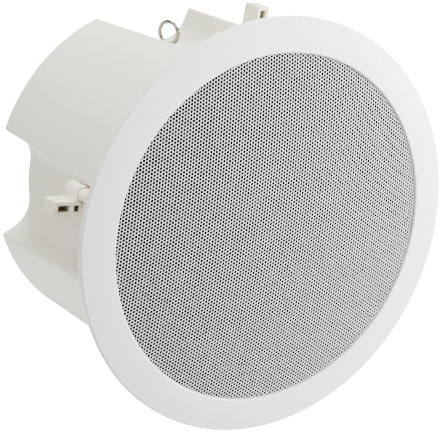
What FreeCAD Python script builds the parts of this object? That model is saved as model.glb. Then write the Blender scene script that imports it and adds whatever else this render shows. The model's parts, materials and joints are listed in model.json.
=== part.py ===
import FreeCAD, Part
import math
import os

# Ceiling speaker with a fluted back can and four swing-out clamps, in millimetres.
# The origin is on the speaker's axis in the ceiling plane, where the flange seats.
# +Z runs up into the ceiling void, so the grille faces down.

# Radii, from the driver's basket out to the can's wall and the bezel
BASKET_RADIUS = 83.0
BASKET_RIM_WIDTH = 11.0
DRIVER_SCREW_INSET = 5.0
CAN_SCREW_MARGIN = 8.0
CAN_SCREW_COVER = 5.4
CAN_RIM_MARGIN = 1.9
BEZEL_WIDTH = 19.7

# Front frame: flange with a sloping bezel, collar, mounting plate and the ledge that the grille stands on
FLANGE_EDGE = 2.9
FLANGE_EDGE_ROUND = 1.2
BEZEL_RISE = 6.4
BEZEL_CROWN = 0.35
BEZEL_LIP = 0.8
BEZEL_WALL = 2.7
FLANGE_SEAT_WIDTH = 2.4
COLLAR_WALL = 3.2
PLATE_FRONT = 2.0
PLATE_THICKNESS = 3.0
LEDGE_HEIGHT = 1.2
LEDGE_WIDTH = 1.5

# Domed grille with a turned hem, and the cloth behind it
GRILLE_SEAT_CLEARANCE = 0.25
GRILLE_DROP = 0.8
GRILLE_DOME_SAG = 8.2
GRILLE_SHEET = 0.8
GRILLE_EDGE_ROUND = 1.0
CLOTH_THICKNESS = 0.4
CLOTH_GAP = 0.1
CLOTH_MARGIN = 1.1

# Back can: drafted shell with four flutes
CAN_REAR = 134.7
CAN_WALL = 3.0
CAN_REAR_WALL = 3.0
CAN_DRAFT = 2.3
CAN_REAR_ROUND = 1.5
FLUTES = 4
FLUTE_DEPTH = 21.7
FLUTE_FILLET = 16.6
FLUTE_CLAMP_MARGIN = 10.0
FLUTE_FLOOR_INSET = 8.5
FLUTE_EDGE_ROUND = 1.5
FLUTE_INNER_ROUND = 0.5
GASKET_THICKNESS = 1.0
GASKET_MARGIN = 0.4

# Small screws through the plate: can screws and driver screws
SCREW_RADIUS = 1.75
SCREW_HEAD_RADIUS = 3.3
SCREW_HEAD_HEIGHT = 2.2
SCREW_CLEARANCE = 0.15
SCREW_BITE = 14.0
PILOT_SPARE = 1.0
RECESS_WIDTH = 1.0
RECESS_LENGTH = 3.6
RECESS_DEPTH = 1.2
CAN_BOSS_RADIUS = 4.2
CAN_BOSS_HEIGHT = 20.0
CAN_RIB = 2.0
DRIVER_BOSS_RADIUS = 3.6
DRIVER_BOSS_HEIGHT = 13.0

# Clamps, in the frame of one flute: radial from the axis, sideways from the flute's middle
CLAMP_INSET = 1.5
CLAMP_SIDE = 21.2
CLAMP_TRAVEL = 22.0
CLAMP_SCREW_RADIUS = 2.0
CLAMP_HEAD_RADIUS = 3.0
CLAMP_HEAD_HEIGHT = 2.4
CLAMP_HEAD_RECESS = 1.4
CLAMP_HEAD_CLEARANCE = 0.15
CLAMP_HOLE_CLEARANCE = 0.3
CLAMP_SCREW_PROUD = 0.6
BUSH_RADIUS = 2.9
BUSH_THREAD_CLEARANCE = 0.15
BUSH_FIT_CLEARANCE = 0.05
BUSH_FLANGE_RADIUS = 4.2
BUSH_FLANGE_THICKNESS = 1.2
RUNNING_CLEARANCE = 0.3
CARRIAGE_GAP = 0.9
CARRIAGE_LENGTH = 8.0
CARRIAGE_HUB_RADIUS = 4.05
CARRIAGE_NOSE_OUT = 4.1
CARRIAGE_NOSE_SIDE = 0.9
CARRIAGE_NOSE_RADIUS = 3.55
CARRIAGE_WALL_OUT = 3.7
CARRIAGE_WEB_LOW = 12.2
CARRIAGE_WEB_WIDTH = 7.6
GUIDE_POST_WIDTH = 3.0
GUIDE_POST_GAP = 0.3
GUIDE_FORK_DEPTH = 2.0
ARM_GAP = 1.0
ARM_HUB_RADIUS = 4.4
ARM_HUB_FACE = 7.3
ARM_HUB_TOP = 4.9
ARM_HUB_ROUND = 3.6
ARM_THICKNESS = 13.7
ARM_TIP_THICKNESS = 12.4
ARM_REACH = 21.4
ARM_STEP = 9.2
ARM_ROOT = 3.6
ARM_LOW = 10.8
ARM_WIDTH = 7.9
ARM_CANT = 5.5
ARM_ROOT_MARGIN = 0.8
ARM_EDGE_ROUND = 0.5
POCKET_DEPTH = 9.0
POCKET_WIDTH = 3.8
TIP_POCKET_LENGTH = 7.8
TIP_POCKET_WALL = 2.2
ROOT_POCKET_LENGTH = 3.5
ROOT_POCKET_WALL = 1.9
NOTCH_SIZE = 3.2
NOTCH_DEPTH = 1.4

# Loudspeaker driver
DRIVER_GASKET = 0.8
BASKET_SHEET = 1.2
BASKET_RIM_CLEARANCE = 0.8
BASKET_THROAT_DEPTH = 6.8
BASKET_SHELF = 29.0
BASKET_SHELF_RADIUS = 45.0
BASKET_CUP_RADIUS = 38.5
BASKET_BOTTOM = 40.0
BASKET_WINDOWS = 6
BASKET_WINDOW_ANGLE = 42.0
BASKET_WINDOW_TOP = 6.0
BASKET_WINDOW_BOTTOM = 26.0
CONE_RIM_WIDTH = 4.0
SURROUND_INSET = 2.0
SURROUND_WIDTH = 8.5
CONE_PAPER = 0.7
CONE_NECK = 22.0
SURROUND_SHEET = 0.6
SURROUND_ROLL = 3.0
SURROUND_LIP = 4.0
CAP_RADIUS = 17.0
CAP_RISE = 6.0
COIL_RADIUS = 13.3
COIL_FORMER = 0.4
COIL_WIRE = 0.6
COIL_LENGTH = 9.0
COIL_GAP = 0.6
SPIDER_SHEET = 0.5
SPIDER_WAVES = 4
SPIDER_WAVE_HEIGHT = 1.6
TOP_PLATE_RADIUS = 40.0
TOP_PLATE_THICKNESS = 5.0
MAGNET_RADIUS = 45.0
MAGNET_BORE = 20.0
MAGNET_HEIGHT = 15.0
YOKE_RADIUS = 41.0
YOKE_THICKNESS = 5.0
POLE_VENT_RADIUS = 4.0

# Line transformer inside the can's rear wall
CORE_LENGTH = 48.0
CORE_WIDTH = 40.0
CORE_STACK = 16.0
CORE_LEG = 8.0
COIL_BUILD_GAP = 0.4
COIL_OVERHANG = 8.0
STRAP_SHEET = 1.2
STRAP_EAR = 10.0
STRAP_WIDTH = 12.0
TRANSFORMER_OFFSET = 38.0

# Terminals outside the can's rear wall
COVER_LENGTH = 66.0
COVER_WIDTH = 44.0
COVER_HEIGHT = 20.0
COVER_WALL = 2.0
COVER_ROUND = 5.0
COVER_SCREW_SPAN = 50.0
COVER_POST_RADIUS = 3.8
BLOCK_LENGTH = 32.0
BLOCK_WIDTH = 15.0
BLOCK_HEIGHT = 12.0
BLOCK_POLES = 4
BLOCK_ENTRY = 3.6
BLOCK_SHIFT = 7.0
GLAND_RADIUS = 6.0
GLAND_HEX = 8.5
GLAND_HEX_LENGTH = 5.0
GLAND_CAP_LENGTH = 8.0
GLAND_BORE = 3.4
GLAND_REACH = 3.0
GLAND_CAP_TAPER = 0.6
GLAND_CAP_WALL = 1.2
GLAND_CAP_SHOULDER = 5.6
LEAD_HOLE_RADIUS = 3.0
LEAD_HOLE_GAP = 1.0

# Safety eye on one flute's floor
EYE_HEIGHT = 105.7
EYE_RING_RADIUS = 6.5
EYE_WIRE_RADIUS = 1.25
EYE_TURN = 20.5
EYE_SHANK_RADIUS = 2.5
EYE_COLLAR_RADIUS = 4.5
EYE_COLLAR_THICKNESS = 1.4
EYE_PAD_RADIUS = 7.0
EYE_PAD_OUT = 1.3
EYE_PAD_IN = 1.5
EYE_NUT_HALF = 4.0
EYE_NUT_THICKNESS = 4.0
EYE_SHANK_PROUD = 1.5
EYE_FLUTE = 180.0

# Heights and radii that follow from the sizes above
PLATE_BACK = PLATE_THICKNESS - PLATE_FRONT
CAN_FRONT = PLATE_BACK + GASKET_THICKNESS
DRIVER_OPENING_RADIUS = BASKET_RADIUS - BASKET_RIM_WIDTH
DRIVER_SCREW_CIRCLE = BASKET_RADIUS - DRIVER_SCREW_INSET
SURROUND_OUTER = DRIVER_OPENING_RADIUS - SURROUND_INSET
CONE_RIM_RADIUS = SURROUND_OUTER - SURROUND_WIDTH
CAN_SCREW_CIRCLE = BASKET_RADIUS + CAN_SCREW_MARGIN
CAN_REAR_RADIUS = CAN_SCREW_CIRCLE + CAN_SCREW_COVER
CAN_FRONT_GROWTH = (CAN_REAR - CAN_FRONT) * math.tan(math.radians(CAN_DRAFT))
COLLAR_RADIUS = CAN_REAR_RADIUS + CAN_FRONT_GROWTH + CAN_RIM_MARGIN
RECESS_RADIUS = COLLAR_RADIUS - COLLAR_WALL
GRILLE_RADIUS = RECESS_RADIUS - GRILLE_SEAT_CLEARANCE
GRILLE_DOME_RADIUS = GRILLE_RADIUS - GRILLE_EDGE_ROUND
GRILLE_FRONT = GRILLE_DROP - BEZEL_RISE
GRILLE_SEAT = -PLATE_FRONT - LEDGE_HEIGHT
FLANGE_RADIUS = RECESS_RADIUS + BEZEL_WIDTH
FLUTE_FLOOR_RADIUS = CAN_REAR_RADIUS - FLUTE_DEPTH
FLUTE_MOUTH_ANGLE = math.degrees(math.asin((CLAMP_SIDE + FLUTE_CLAMP_MARGIN) / CAN_REAR_RADIUS))
FLUTE_FILLET_CENTRE = FLUTE_FLOOR_RADIUS + FLUTE_FILLET
FLUTE_FILLET_ANGLE = math.degrees(math.asin((CLAMP_SIDE - FLUTE_FLOOR_INSET) / FLUTE_FILLET_CENTRE))
CLAMP_RADIAL = CAN_REAR_RADIUS - CLAMP_INSET
GUIDE_POST_INNER = FLUTE_FLOOR_RADIUS + CAN_FRONT_GROWTH + GUIDE_POST_GAP
ARM_ROOT_DROP = (ARM_STEP - ARM_ROOT) * math.sin(math.radians(ARM_CANT))
GUIDE_POST_TOP = CLAMP_RADIAL - ARM_LOW - ARM_ROOT_MARGIN - ARM_ROOT_DROP - RUNNING_CLEARANCE
CLAMP_HEAD_SEAT = CLAMP_HEAD_RECESS - PLATE_FRONT
CAN_INSIDE = CAN_REAR - CAN_REAR_WALL
CARRIAGE_FRONT = PLATE_BACK + CARRIAGE_GAP + CLAMP_TRAVEL
CARRIAGE_BACK = CARRIAGE_FRONT + CARRIAGE_LENGTH
ARM_FRONT = CARRIAGE_BACK + ARM_GAP
ARM_BACK = ARM_FRONT + ARM_THICKNESS
BUSH_SEAT = ARM_BACK + RUNNING_CLEARANCE
BUSH_END = BUSH_SEAT + BUSH_FLANGE_THICKNESS
BASKET_FRONT = -PLATE_FRONT - DRIVER_GASKET - BASKET_SHEET
CONE_RIM = BASKET_FRONT + SURROUND_SHEET + CONE_PAPER
MAGNET_FRONT = BASKET_BOTTOM + TOP_PLATE_THICKNESS
MAGNET_BACK = MAGNET_FRONT + MAGNET_HEIGHT
POLE_RADIUS = COIL_RADIUS - COIL_FORMER - COIL_GAP
GAP_RADIUS = COIL_RADIUS + COIL_WIRE + COIL_GAP
EYE_FLOOR = FLUTE_FLOOR_RADIUS + (CAN_REAR - EYE_HEIGHT) * math.tan(math.radians(CAN_DRAFT))
EYE_SEAT = EYE_FLOOR + EYE_PAD_OUT
FLUTE_ANGLES = [360.0 / FLUTES * i for i in range(FLUTES)]
LOBE_ANGLES = [angle + 180.0 / FLUTES for angle in FLUTE_ANGLES]

Vector = FreeCAD.Vector
ORIGIN = Vector(0, 0, 0)
UP = Vector(0, 0, 1)
OUT = Vector(1, 0, 0)
ALONG = Vector(0, 1, 0)
NEAR = 0.001


def wire(place, start, *steps):
    """Closed wire from a start point: a step is a point for a line, or (middle, end) for an arc."""
    edges = []
    here = start
    for step in steps + (start,):
        if isinstance(step[0], tuple):
            middle, end = step
            edges.append(Part.Arc(place(*here), place(*middle), place(*end)).toShape())
        elif math.dist(here, step) > NEAR:
            end = step
            edges.append(Part.LineSegment(place(*here), place(*end)).toShape())
        here = end
    return Part.Wire(edges)


def turned(start, *steps):
    """Solid turned about the speaker's axis from an outline of (radius, height) points."""
    outline = wire(lambda radius, height: Vector(radius, 0, height), start, *steps)
    return Part.Face(outline).revolve(ORIGIN, UP, 360)


def prism(low, high, start, *steps):
    """Solid raised from low to high on an outline of (x, y) points."""
    outline = wire(lambda x, y: Vector(x, y, low), start, *steps)
    return Part.Face(outline).extrude(Vector(0, 0, high - low))


def block(x0, x1, y0, y1, z0, z1):
    return Part.makeBox(x1 - x0, y1 - y0, z1 - z0, Vector(x0, y0, z0))


def post(radius, x, y, z0, z1):
    return Part.makeCylinder(radius, z1 - z0, Vector(x, y, z0), UP)


def tube(outer, inner, z0, z1):
    return post(outer, 0, 0, z0, z1).cut(post(inner, 0, 0, z0, z1))


def at_angle(shape, angle):
    """Copy of a shape turned about the speaker's axis."""
    copy = shape.copy()
    copy.rotate(ORIGIN, UP, angle)
    return copy


def around(shape, angles):
    """Copies of a shape at several angles about the speaker's axis."""
    return [at_angle(shape, angle) for angle in angles]


def polar(radius, degrees):
    angle = math.radians(degrees)
    return radius * math.cos(angle), radius * math.sin(angle)


def bezel_height(radius):
    """Height of the bezel's straight slope, which falls from its inner lip to the flange's edge."""
    inner = RECESS_RADIUS + BEZEL_LIP
    outer = FLANGE_RADIUS - FLANGE_EDGE_ROUND
    share = (radius - inner) / (outer - inner)
    return -BEZEL_RISE + share * (BEZEL_RISE - FLANGE_EDGE)


def front_frame():
    """Moulded flange, collar and plate, with guide posts for the clamps and bosses for the driver."""
    lip = RECESS_RADIUS + BEZEL_LIP
    edge = FLANGE_RADIUS - FLANGE_EDGE_ROUND
    middle = (lip + edge) / 2
    seat = FLANGE_RADIUS - FLANGE_SEAT_WIDTH
    bend = FLANGE_EDGE_ROUND * (1 - math.sqrt(0.5))
    lip_bend = BEZEL_LIP * (1 - math.sqrt(0.5))
    ledge = RECESS_RADIUS - LEDGE_WIDTH
    frame = turned(
        (DRIVER_OPENING_RADIUS, -PLATE_FRONT),
        (ledge, -PLATE_FRONT),
        (ledge, GRILLE_SEAT),
        (RECESS_RADIUS, GRILLE_SEAT),
        (RECESS_RADIUS, -BEZEL_RISE + BEZEL_LIP),
        ((RECESS_RADIUS + lip_bend, -BEZEL_RISE + lip_bend), (lip, -BEZEL_RISE)),
        ((middle, bezel_height(middle) - BEZEL_CROWN), (edge, -FLANGE_EDGE)),
        ((FLANGE_RADIUS - bend, -FLANGE_EDGE + bend), (FLANGE_RADIUS, -FLANGE_EDGE + FLANGE_EDGE_ROUND)),
        (FLANGE_RADIUS, 0),
        (seat, 0),
        (seat, bezel_height(seat) + BEZEL_WALL),
        (COLLAR_RADIUS, bezel_height(COLLAR_RADIUS) + BEZEL_WALL),
        (COLLAR_RADIUS, PLATE_BACK),
        (DRIVER_OPENING_RADIUS, PLATE_BACK),
    )
    guide_side = CLAMP_SIDE - CARRIAGE_WEB_LOW + (CARRIAGE_WEB_WIDTH - GUIDE_POST_WIDTH) / 2
    guide = block(GUIDE_POST_INNER, GUIDE_POST_TOP,
                  guide_side, guide_side + GUIDE_POST_WIDTH, PLATE_BACK, CARRIAGE_BACK)
    boss = post(DRIVER_BOSS_RADIUS, DRIVER_SCREW_CIRCLE, 0, PLATE_BACK, PLATE_BACK + DRIVER_BOSS_HEIGHT)
    frame = frame.fuse(around(guide, FLUTE_ANGLES) + around(boss, LOBE_ANGLES))
    hole = SCREW_RADIUS + SCREW_CLEARANCE
    clamp_hole = post(CLAMP_SCREW_RADIUS + CLAMP_HOLE_CLEARANCE, CLAMP_RADIAL, CLAMP_SIDE,
                      -PLATE_FRONT, PLATE_BACK)
    clamp_recess = post(CLAMP_HEAD_RADIUS + CLAMP_HEAD_CLEARANCE, CLAMP_RADIAL, CLAMP_SIDE,
                        GRILLE_SEAT, CLAMP_HEAD_SEAT)
    can_hole = post(hole, CAN_SCREW_CIRCLE, 0, -PLATE_FRONT, PLATE_BACK)
    driver_hole = post(hole, DRIVER_SCREW_CIRCLE, 0, -PLATE_FRONT, PLATE_BACK + DRIVER_BOSS_HEIGHT)
    lobe_holes = around(can_hole, LOBE_ANGLES) + around(driver_hole, LOBE_ANGLES)
    clamp_holes = around(clamp_hole, FLUTE_ANGLES) + around(clamp_recess, FLUTE_ANGLES)
    return frame.cut(clamp_holes + lobe_holes).removeSplitter()


def sag(radius, span, rise):
    """Depth at a radius of a spherical dome that falls by a rise over a span."""
    ball = (span ** 2 + rise ** 2) / (2 * rise)
    return ball - math.sqrt(ball ** 2 - radius ** 2)


def dome_point(radius, behind):
    """Point of the dome's outline, set behind the grille's outer face."""
    apex = GRILLE_FRONT - GRILLE_DOME_SAG
    return radius, apex + sag(radius, GRILLE_DOME_RADIUS, GRILLE_DOME_SAG) + behind


def grille():
    """Domed sheet whose hem stands on the ledge in the frame's recess."""
    rim = GRILLE_DOME_RADIUS
    inner = GRILLE_RADIUS - GRILLE_SHEET
    bend = GRILLE_EDGE_ROUND * (1 - math.sqrt(0.5))
    return turned(
        dome_point(0, 0),
        (dome_point(rim / 2, 0), dome_point(rim, 0)),
        ((GRILLE_RADIUS - bend, GRILLE_FRONT + bend), (GRILLE_RADIUS, GRILLE_FRONT + GRILLE_EDGE_ROUND)),
        (GRILLE_RADIUS, GRILLE_SEAT),
        (inner, GRILLE_SEAT),
        (inner, GRILLE_FRONT + GRILLE_EDGE_ROUND),
        dome_point(rim, GRILLE_SHEET),
        (dome_point(rim / 2, GRILLE_SHEET), dome_point(0, GRILLE_SHEET)),
    )


def grille_cloth():
    """Black cloth that backs the grille's dome."""
    rim = GRILLE_DOME_RADIUS - CLOTH_MARGIN
    near = GRILLE_SHEET + CLOTH_GAP
    far = near + CLOTH_THICKNESS
    return turned(
        dome_point(0, near),
        (dome_point(rim / 2, near), dome_point(rim, near)),
        dome_point(rim, far),
        (dome_point(rim / 2, far), dome_point(0, far)),
    )


def flute_wall():
    """Centre of a flute's fillet at the can's rear, and the side wall's unit normal into the can."""
    centre = polar(FLUTE_FILLET_CENTRE, FLUTE_FILLET_ANGLE)
    corner = polar(CAN_REAR_RADIUS, FLUTE_MOUTH_ANGLE)
    to_corner = (corner[0] - centre[0], corner[1] - centre[1])
    reach = math.hypot(*to_corner)
    lean = math.atan2(to_corner[1], to_corner[0]) + math.acos(FLUTE_FILLET / reach)
    return centre, (math.cos(lean), math.sin(lean))


def flute_corner(offset, inset):
    """Point set in from both the side wall and the outer face of the can's outline."""
    centre, normal = flute_wall()
    depth = FLUTE_FILLET - offset + inset
    foot = (centre[0] + depth * normal[0], centre[1] + depth * normal[1])
    along = (normal[1], -normal[0])
    forward = foot[0] * along[0] + foot[1] * along[1]
    radius = CAN_REAR_RADIUS + offset - inset
    run = -forward + math.sqrt(forward ** 2 - foot[0] ** 2 - foot[1] ** 2 + radius ** 2)
    return foot[0] + run * along[0], foot[1] + run * along[1]


def can_outline(height, offset, edge_round):
    """The can's fluted outline, moved out by an offset from its outline at the rear."""
    centre, normal = flute_wall()
    fillet = FLUTE_FILLET - offset
    radius = CAN_REAR_RADIUS + offset
    floor = FLUTE_FLOOR_RADIUS + offset
    turn = math.degrees(math.atan2(normal[1], normal[0]))
    bend = (180 + FLUTE_FILLET_ANGLE + turn) / 2
    corner = flute_corner(offset, edge_round)
    on_wall = (corner[0] - edge_round * normal[0], corner[1] - edge_round * normal[1])
    rim_angle = math.degrees(math.atan2(corner[1], corner[0]))
    on_rim = polar(radius, rim_angle)
    corner_turn = math.degrees(math.atan2(-normal[1], -normal[0]))
    half = (corner_turn + rim_angle) / 2
    on_corner = (corner[0] + edge_round * math.cos(math.radians(half)),
                 corner[1] + edge_round * math.sin(math.radians(half)))
    fillet_start = polar(floor, FLUTE_FILLET_ANGLE)
    swing = polar(fillet, bend)
    fillet_middle = (centre[0] + swing[0], centre[1] + swing[1])
    fillet_end = (centre[0] + fillet * normal[0], centre[1] + fillet * normal[1])

    def mirrored(point):
        return point[0], -point[1]

    def turned_by(point, angle):
        size = math.hypot(*point)
        return polar(size, math.degrees(math.atan2(point[1], point[0])) + angle)

    steps = []
    pitch = 360.0 / FLUTES
    for angle in FLUTE_ANGLES:
        quarter = [
            ((floor, 0.0), fillet_start),
            (fillet_middle, fillet_end),
            on_wall,
            (on_corner, on_rim),
            (polar(radius, pitch / 2), turned_by(mirrored(on_rim), pitch)),
            (turned_by(mirrored(on_corner), pitch), turned_by(mirrored(on_wall), pitch)),
            turned_by(mirrored(fillet_end), pitch),
            (turned_by(mirrored(fillet_middle), pitch), turned_by(mirrored(fillet_start), pitch)),
        ]
        for step in quarter:
            if isinstance(step[0], tuple):
                steps.append((turned_by(step[0], angle), turned_by(step[1], angle)))
            else:
                steps.append(turned_by(step, angle))
    start = turned_by(mirrored(fillet_start), FLUTE_ANGLES[0])
    return wire(lambda x, y: Vector(x, y, height), start, *steps)


def can_growth(height):
    """How far the draft has moved the can's walls out at a height, from where they are at the rear."""
    return (CAN_REAR - height) * math.tan(math.radians(CAN_DRAFT))


def can_body(low, high, inset, edge_round):
    """Drafted solid with the can's outline set in by a wall."""
    sections = [can_outline(height, can_growth(height) - inset, edge_round) for height in (low, high)]
    return Part.makeLoft(sections, True, True)


def back_can():
    """Moulded can with screw bosses in its lobes, a flat pad for the eye and a hole for the leads."""
    outer = can_body(CAN_FRONT, CAN_REAR, 0, FLUTE_EDGE_ROUND)
    rear_edges = [edge for edge in outer.Edges if edge.BoundBox.ZMin > CAN_REAR - NEAR]
    outer = outer.makeFillet(CAN_REAR_ROUND, rear_edges)
    inner = can_body(CAN_FRONT, CAN_INSIDE, CAN_WALL, FLUTE_INNER_ROUND)
    shell = outer.cut(inner)
    boss_end = CAN_FRONT + CAN_BOSS_HEIGHT
    boss = post(CAN_BOSS_RADIUS, CAN_SCREW_CIRCLE, 0, CAN_FRONT, boss_end)
    mid_wall = CAN_REAR_RADIUS + can_growth(boss_end) - CAN_WALL / 2
    rib = block(CAN_SCREW_CIRCLE, mid_wall, -CAN_RIB / 2, CAN_RIB / 2, CAN_FRONT, boss_end)
    pad = Part.makeCylinder(EYE_PAD_RADIUS, EYE_PAD_OUT + CAN_WALL + EYE_PAD_IN,
                            Vector(EYE_SEAT - EYE_PAD_OUT - CAN_WALL - EYE_PAD_IN, 0, EYE_HEIGHT), OUT)
    shell = shell.fuse(around(boss, LOBE_ANGLES) + around(rib, LOBE_ANGLES) + [at_angle(pad, EYE_FLUTE)])
    hole = SCREW_RADIUS + SCREW_CLEARANCE
    pilot = post(hole, CAN_SCREW_CIRCLE, 0, CAN_FRONT, CAN_FRONT + SCREW_BITE + PILOT_SPARE)
    eye_hole = Part.makeCylinder(EYE_SHANK_RADIUS + SCREW_CLEARANCE, EYE_SEAT, Vector(0, 0, EYE_HEIGHT), OUT)
    lead_side = -BLOCK_SHIFT - BLOCK_WIDTH / 2 - LEAD_HOLE_RADIUS - LEAD_HOLE_GAP
    lead_hole = post(LEAD_HOLE_RADIUS, 0, lead_side, CAN_INSIDE, CAN_REAR)
    cover_holes = [post(hole, side * COVER_SCREW_SPAN / 2, 0, CAN_INSIDE, CAN_REAR) for side in (-1, 1)]
    strap_holes = [post(hole, x, y, CAN_INSIDE, CAN_REAR) for x, y in strap_screw_places()]
    wall_holes = [at_angle(eye_hole, EYE_FLUTE), lead_hole] + cover_holes + strap_holes
    return shell.cut(around(pilot, LOBE_ANGLES) + wall_holes).removeSplitter()


def can_gasket():
    """Flat gasket between the can's rim and the plate."""
    growth = can_growth(CAN_FRONT)
    outer = Part.Face(can_outline(PLATE_BACK, growth - GASKET_MARGIN, FLUTE_EDGE_ROUND))
    inner = Part.Face(can_outline(PLATE_BACK, growth - CAN_WALL + GASKET_MARGIN, FLUTE_EDGE_ROUND))
    return outer.cut(inner).extrude(Vector(0, 0, GASKET_THICKNESS))


def pan_screw(x, y, seat, length, radius, head_radius, head_height):
    """Screw with a cross recess, driven up from below: its head seats at a height and its shank runs up."""
    screw = post(head_radius, x, y, seat - head_height, seat)
    rim = [edge for edge in screw.Edges if edge.BoundBox.ZMax < seat - head_height + NEAR]
    screw = screw.makeChamfer(head_height / 3, rim)
    screw = screw.fuse(post(radius, x, y, seat, seat + length))
    cross = [block(x - along / 2, x + along / 2, y - across / 2, y + across / 2,
                   seat - head_height, seat - head_height + RECESS_DEPTH)
             for along, across in ((RECESS_LENGTH, RECESS_WIDTH), (RECESS_WIDTH, RECESS_LENGTH))]
    return screw.cut(cross).removeSplitter()


def small_screw(x, y, seat, length):
    return pan_screw(x, y, seat, length, SCREW_RADIUS, SCREW_HEAD_RADIUS, SCREW_HEAD_HEIGHT)


def upside_down(shape, height):
    """Copy of a shape turned over about a line at a height, for screws driven from above."""
    copy = shape.copy()
    copy.rotate(Vector(0, 0, height), OUT, 180)
    return copy


def can_screws():
    screw = small_screw(CAN_SCREW_CIRCLE, 0, -PLATE_FRONT, PLATE_THICKNESS + GASKET_THICKNESS + SCREW_BITE)
    return Part.makeCompound(around(screw, LOBE_ANGLES))


def driver_screws():
    screw = small_screw(DRIVER_SCREW_CIRCLE, 0, BASKET_FRONT, SCREW_BITE)
    return Part.makeCompound(around(screw, LOBE_ANGLES))


def driver_gasket():
    ring = tube(BASKET_RADIUS, DRIVER_OPENING_RADIUS, -PLATE_FRONT - DRIVER_GASKET, -PLATE_FRONT)
    hole = post(SCREW_RADIUS + SCREW_CLEARANCE, DRIVER_SCREW_CIRCLE, 0,
                -PLATE_FRONT - DRIVER_GASKET, -PLATE_FRONT)
    return ring.cut(around(hole, LOBE_ANGLES))


def driver_basket():
    """Pressed steel basket: mounting rim, windowed cone, shelf for the spider and cup for the magnet."""
    rim = BASKET_FRONT + BASKET_SHEET
    throat = DRIVER_OPENING_RADIUS - BASKET_RIM_CLEARANCE
    throat_back = BASKET_FRONT + BASKET_THROAT_DEPTH
    neck = GAP_RADIUS + COIL_GAP
    sheet = BASKET_SHEET
    basket = turned(
        (BASKET_RADIUS, BASKET_FRONT),
        (BASKET_RADIUS, rim),
        (throat, rim),
        (throat, throat_back),
        (BASKET_SHELF_RADIUS, BASKET_SHELF + sheet),
        (BASKET_CUP_RADIUS + sheet, BASKET_SHELF + sheet),
        (BASKET_CUP_RADIUS, BASKET_BOTTOM),
        (neck, BASKET_BOTTOM),
        (neck, BASKET_BOTTOM - sheet),
        (BASKET_CUP_RADIUS - sheet, BASKET_BOTTOM - sheet),
        (BASKET_CUP_RADIUS, BASKET_SHELF),
        (BASKET_SHELF_RADIUS - sheet / 2, BASKET_SHELF),
        (throat - sheet, throat_back - sheet / 2),
        (throat - sheet, BASKET_FRONT),
    )
    half = BASKET_WINDOW_ANGLE / 2
    window = prism(BASKET_WINDOW_TOP, BASKET_WINDOW_BOTTOM,
                   (0, 0), polar(BASKET_RADIUS, -half), ((BASKET_RADIUS, 0), polar(BASKET_RADIUS, half)))
    windows = around(window, [360.0 / BASKET_WINDOWS * i for i in range(BASKET_WINDOWS)])
    hole = post(SCREW_RADIUS + SCREW_CLEARANCE, DRIVER_SCREW_CIRCLE, 0, BASKET_FRONT, rim)
    return basket.cut(windows + around(hole, LOBE_ANGLES))


def cone_height(radius):
    """Height of the cone's front face, from its rim down to its neck."""
    rim = CONE_RIM_RADIUS - CONE_RIM_WIDTH
    share = (rim - radius) / (rim - COIL_RADIUS)
    return CONE_RIM - CONE_PAPER + share * (CONE_NECK - CONE_RIM)


def cone():
    """Paper cone with a flat rim for the surround."""
    rim = CONE_RIM_RADIUS - CONE_RIM_WIDTH
    middle = (rim + COIL_RADIUS) / 2
    belly = CONE_RIM_WIDTH / 2
    return turned(
        (CONE_RIM_RADIUS, CONE_RIM - CONE_PAPER),
        (CONE_RIM_RADIUS, CONE_RIM),
        (rim, CONE_RIM),
        ((middle, cone_height(middle) + belly + CONE_PAPER), (COIL_RADIUS, CONE_NECK + CONE_PAPER)),
        (COIL_RADIUS, CONE_NECK - CONE_PAPER),
        ((middle, cone_height(middle) + belly - CONE_PAPER), (rim, CONE_RIM - CONE_PAPER)),
    )


def surround():
    """Rubber half-roll between the cone's rim and the basket's rim."""
    inner = CONE_RIM_RADIUS
    middle = (inner + SURROUND_OUTER) / 2
    front = BASKET_FRONT - SURROUND_SHEET
    peak = BASKET_FRONT - SURROUND_ROLL
    lip = CONE_RIM - CONE_PAPER
    return turned(
        (SURROUND_OUTER + SURROUND_LIP, BASKET_FRONT),
        (SURROUND_OUTER + SURROUND_LIP, front),
        (SURROUND_OUTER, front),
        ((middle, peak - SURROUND_SHEET), (inner, lip - SURROUND_SHEET)),
        (inner - CONE_RIM_WIDTH, lip - SURROUND_SHEET),
        (inner - CONE_RIM_WIDTH, lip),
        (inner, lip),
        ((middle, peak), (SURROUND_OUTER, BASKET_FRONT)),
    )


def dust_cap():
    """Domed cap glued over the cone's neck."""
    crown = cone_height(CAP_RADIUS) - CONE_PAPER - CAP_RISE
    middle = CAP_RADIUS / 2
    fall = sag(middle, CAP_RADIUS, CAP_RISE)
    return turned(
        (0, crown),
        ((middle, crown + fall), (CAP_RADIUS, crown + CAP_RISE)),
        (CAP_RADIUS, crown + CAP_RISE + CONE_PAPER),
        ((middle, crown + fall + CONE_PAPER), (0, crown + CONE_PAPER)),
    )


def voice_coil():
    """Former with its winding, centred in the magnet's gap."""
    middle = BASKET_BOTTOM + TOP_PLATE_THICKNESS / 2
    low = middle - COIL_LENGTH / 2
    high = middle + COIL_LENGTH / 2
    inner = COIL_RADIUS - COIL_FORMER
    return turned(
        (inner, CONE_NECK - CONE_PAPER),
        (COIL_RADIUS, CONE_NECK - CONE_PAPER),
        (COIL_RADIUS, low),
        (COIL_RADIUS + COIL_WIRE, low),
        (COIL_RADIUS + COIL_WIRE, high),
        (inner, high),
    )


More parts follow.
